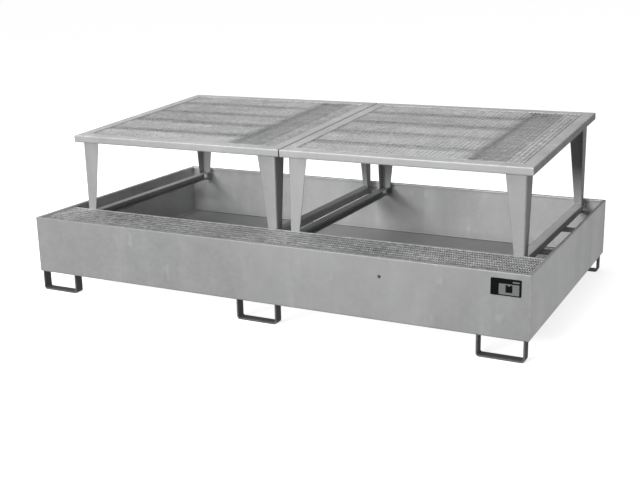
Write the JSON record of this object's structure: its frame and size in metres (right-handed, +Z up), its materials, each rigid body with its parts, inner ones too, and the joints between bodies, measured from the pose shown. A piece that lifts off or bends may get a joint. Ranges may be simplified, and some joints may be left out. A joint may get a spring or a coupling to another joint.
{
  "type": "spill containment pallet",
  "caption": "Galvanised steel spill tray on U-shaped feet, with front gratings and two raised, forward-sloping stands for bulk containers.",
  "frame": {"origin": "on the floor, at the centre of the tray's footprint", "axes": "+X along the length, +Y from the front gratings towards the back, +Z up"},
  "size_m": [2.68, 1.5053, 0.873],
  "materials": {
    "tray_sheet": "hot-dip galvanised, matt, with soft lighter runs",
    "foot_bar": "hot-dip galvanised flat bar, dull",
    "support_steel": "hot-dip galvanised, matt",
    "front_grating": "hot-dip galvanised grating, matt",
    "deck_grating": "hot-dip galvanised grating, matt",
    "deck_sheet": "hot-dip galvanised sheet, matt",
    "stand_frame": "hot-dip galvanised sheet, matt",
    "stand_leg": "hot-dip galvanised sheet, matt",
    "base_rail": "hot-dip galvanised channel, matt",
    "label_plate": "printed plate, satin",
    "earthing_bolt": "dull zinc"
  },
  "bodies": {
    "tray": {"tray_floor": "tray_sheet", "tray_front_wall": "tray_sheet", "tray_back_wall": "tray_sheet", "tray_left_wall": "tray_sheet", "tray_right_wall": "tray_sheet", "foot_front_left": "foot_bar", "foot_front_centre": "foot_bar", "foot_front_right": "foot_bar", "foot_back_left": "foot_bar", "foot_back_centre": "foot_bar", "foot_back_right": "foot_bar", "grating_ledge_front": "support_steel", "cross_beam": "support_steel", "rail_cleat_left": "support_steel", "rail_cleat_centre": "support_steel", "rail_cleat_right": "support_steel", "side_bracket_left_front": "support_steel", "side_bracket_left_back": "support_steel", "side_bracket_right_front": "support_steel", "side_bracket_right_back": "support_steel", "label_plate": "label_plate", "earthing_bolt": "earthing_bolt"},
    "front_grating_left": {"front_grating_left": "front_grating"},
    "stand_left": {"stand_left_leg_front_left": "stand_leg", "stand_left_leg_front_right": "stand_leg", "stand_left_leg_back_left": "stand_leg", "stand_left_leg_back_right": "stand_leg", "stand_left_rail_left": "base_rail", "stand_left_rail_right": "base_rail", "stand_left_frame_front": "stand_frame", "stand_left_frame_back": "stand_frame", "stand_left_frame_left": "stand_frame", "stand_left_frame_right": "stand_frame", "stand_left_slat_1": "deck_sheet", "stand_left_slat_2": "deck_sheet", "stand_left_slat_3": "deck_sheet", "stand_left_slat_4": "deck_sheet", "stand_left_slat_5": "deck_sheet", "stand_left_bearer": "deck_sheet", "stand_left_plank": "deck_sheet"},
    "deck_grating_left": {"stand_left_deck_grating": "deck_grating"},
    "front_grating_right": {"front_grating_right": "front_grating"},
    "stand_right": {"stand_right_leg_front_left": "stand_leg", "stand_right_leg_front_right": "stand_leg", "stand_right_leg_back_left": "stand_leg", "stand_right_leg_back_right": "stand_leg", "stand_right_rail_left": "base_rail", "stand_right_rail_right": "base_rail", "stand_right_frame_front": "stand_frame", "stand_right_frame_back": "stand_frame", "stand_right_frame_left": "stand_frame", "stand_right_frame_right": "stand_frame", "stand_right_slat_1": "deck_sheet", "stand_right_slat_2": "deck_sheet", "stand_right_slat_3": "deck_sheet", "stand_right_slat_4": "deck_sheet", "stand_right_slat_5": "deck_sheet", "stand_right_bearer": "deck_sheet", "stand_right_plank": "deck_sheet"},
    "deck_grating_right": {"stand_right_deck_grating": "deck_grating"}
  },
  "joints": [
    {"name": "front_grating_left_lift", "type": "slide", "parent": "tray", "child": "front_grating_left", "axis": [0, 0, 1], "range_m": [0, 0.15]},
    {"name": "stand_left_lift", "type": "slide", "parent": "tray", "child": "stand_left", "axis": [0, 0, 1], "range_m": [0, 0.25]},
    {"name": "deck_grating_left_lift", "type": "slide", "parent": "stand_left", "child": "deck_grating_left", "axis": [0, -0.0596, 0.9982], "range_m": [0, 0.15]},
    {"name": "front_grating_right_lift", "type": "slide", "parent": "tray", "child": "front_grating_right", "axis": [0, 0, 1], "range_m": [0, 0.15]},
    {"name": "stand_right_lift", "type": "slide", "parent": "tray", "child": "stand_right", "axis": [0, 0, 1], "range_m": [0, 0.25]},
    {"name": "deck_grating_right_lift", "type": "slide", "parent": "stand_right", "child": "deck_grating_right", "axis": [0, -0.0596, 0.9982], "range_m": [0, 0.15]}
  ]
}
